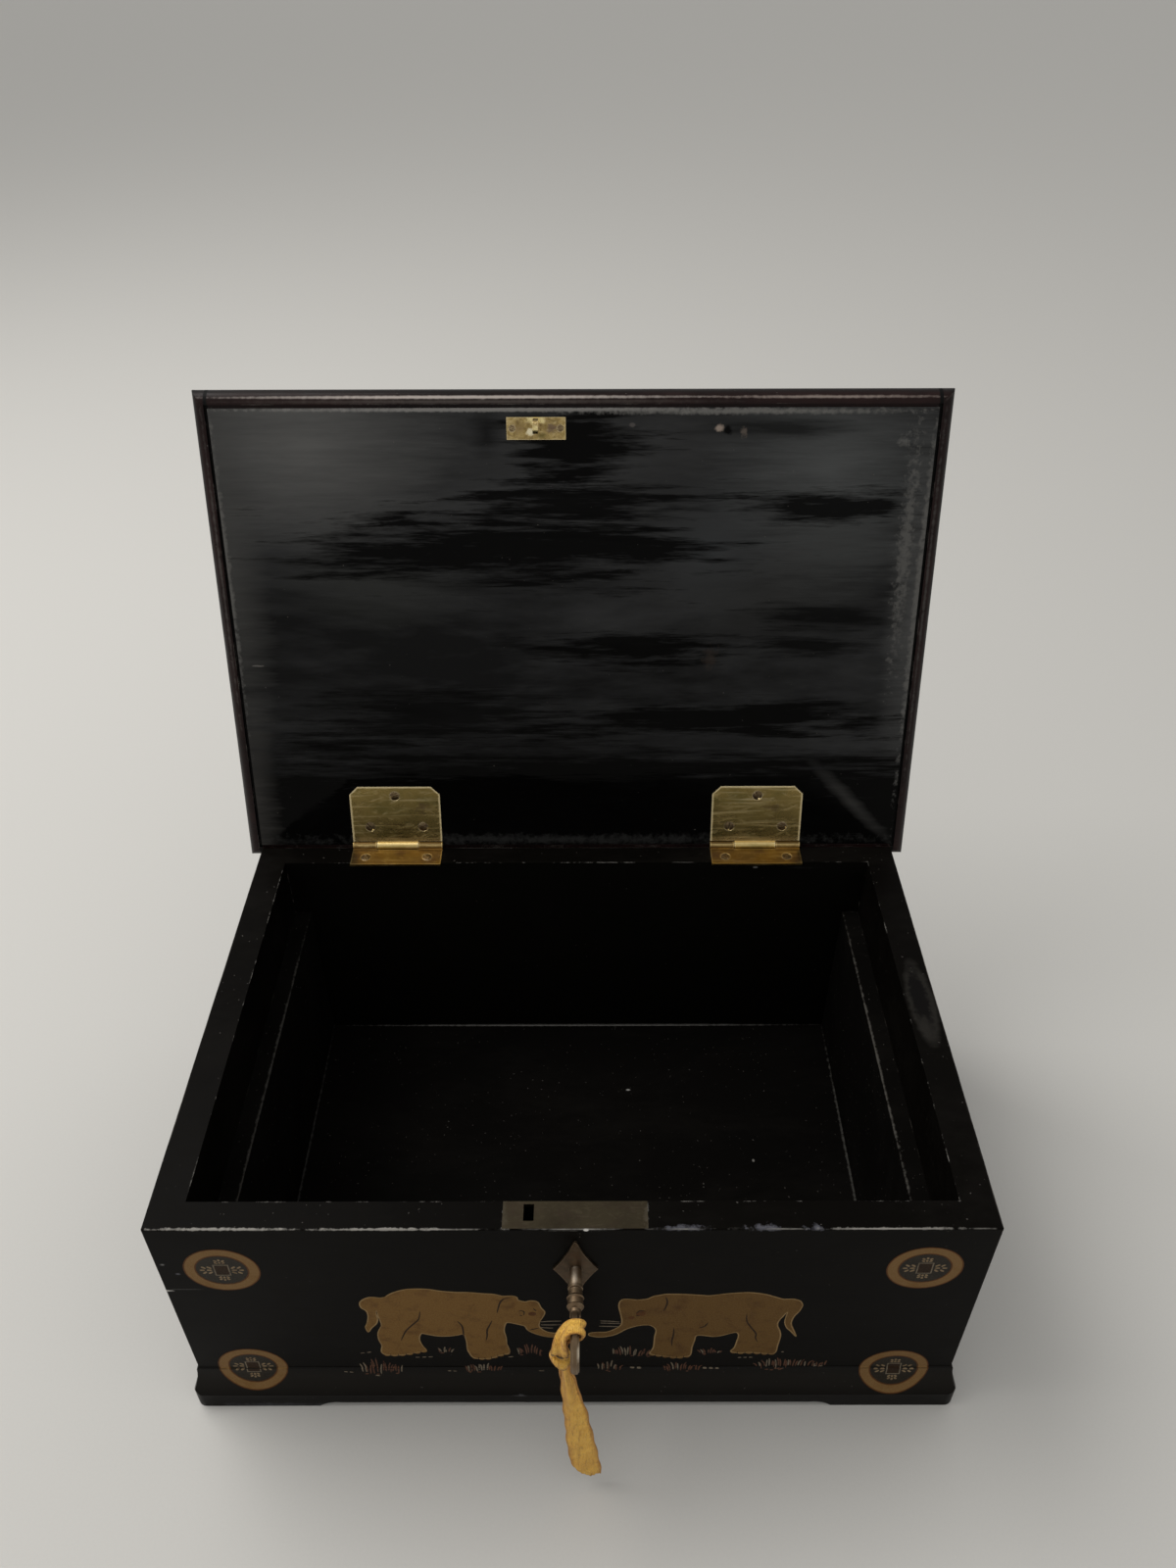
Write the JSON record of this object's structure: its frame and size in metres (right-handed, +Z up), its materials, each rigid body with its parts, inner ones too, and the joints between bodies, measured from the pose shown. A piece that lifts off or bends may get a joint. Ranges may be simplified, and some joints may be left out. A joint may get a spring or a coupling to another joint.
{
  "type": "lidded box",
  "caption": "Lacquered wooden box with a mitred moulded lid on butt hinges, a box lock with a link keeper, and a barrel key in the lock carrying a soft ribbon",
  "frame": {"origin": "Centre of the case's footprint, in the plane the four feet stand in", "axes": "+X to the right seen from the front, +Y to the back where the hinges are, +Z up. The front face is at Y -0.100. At rest the lid stands open on its stop"},
  "size_m": [0.3136, 0.2985, 0.3234],
  "materials": {
    "black_lacquer": "glossy black lacquer with gilt painting on the front",
    "inner_lacquer": "satin black lacquer",
    "hinge_brass": "scratched bright brass",
    "lock_brass": "dull brown patina",
    "key_brass": "greyed brass, cast and turned",
    "spring_steel": "spring steel",
    "ribbon_cloth": "soft ochre ribbon"
  },
  "bodies": {
    "case": {"front_board": "black_lacquer", "back_board": "black_lacquer", "side_board_left": "black_lacquer", "side_board_right": "black_lacquer", "bottom_board": "inner_lacquer", "tray_ledge_left": "inner_lacquer", "tray_ledge_right": "inner_lacquer", "base_moulding_front": "black_lacquer", "base_moulding_back": "black_lacquer", "base_moulding_left": "black_lacquer", "base_moulding_right": "black_lacquer", "hinge_rim_leaf_left": "hinge_brass", "hinge_rim_leaf_right": "hinge_brass", "hinge_pin_left": "hinge_brass", "hinge_pin_right": "hinge_brass", "rim_hinge_screws": "hinge_brass", "escutcheon": "lock_brass", "lock_plate": "lock_brass", "lock_case": "lock_brass", "lock_screws": "lock_brass", "drill_pin": "lock_brass", "bolt_studs": "lock_brass", "bolt_spring": "spring_steel"},
    "lid": {"lid_panel": "black_lacquer", "lid_moulding_front": "black_lacquer", "lid_moulding_back": "black_lacquer", "lid_moulding_left": "black_lacquer", "lid_moulding_right": "black_lacquer", "hinge_lid_leaf_left": "hinge_brass", "hinge_lid_leaf_right": "hinge_brass", "lid_hinge_screws": "hinge_brass", "keeper_plate": "lock_brass", "keeper_link": "lock_brass", "keeper_screws": "lock_brass"},
    "bolt": {"lock_bolt": "lock_brass"},
    "key": {"key": "key_brass", "ribbon_knot": "ribbon_cloth"},
    "tail": {"ribbon_tail": "ribbon_cloth"}
  },
  "joints": [
    {"name": "lid_hinge", "type": "hinge", "parent": "case", "child": "lid", "pos_m": [0, 0.1005, 0.1238], "axis": [1, 0, 0], "range_deg": [0, 104.4]},
    {"name": "key_turn", "type": "hinge", "parent": "case", "child": "key", "pos_m": [0.001, -0.1, 0.0985], "axis": [0, -1, 0], "range_deg": [0, 360]},
    {"name": "bolt_slide", "type": "slide", "parent": "case", "child": "bolt", "axis": [-1, 0, 0], "range_m": [0, 0.0056]},
    {"name": "tail_swing", "type": "hinge", "parent": "key", "child": "tail", "pos_m": [-0.0049, -0.1266, 0.0869], "axis": [0, -1, 0], "range_deg": [-365, 5], "deforming": ["ribbon_tail"]}
  ],
  "couplings": [
    {"joint": "key_turn", "follows": "bolt_slide", "rad_per_m": 1121.9},
    {"joint": "tail_swing", "follows": "bolt_slide", "rad_per_m": -1121.9}
  ]
}
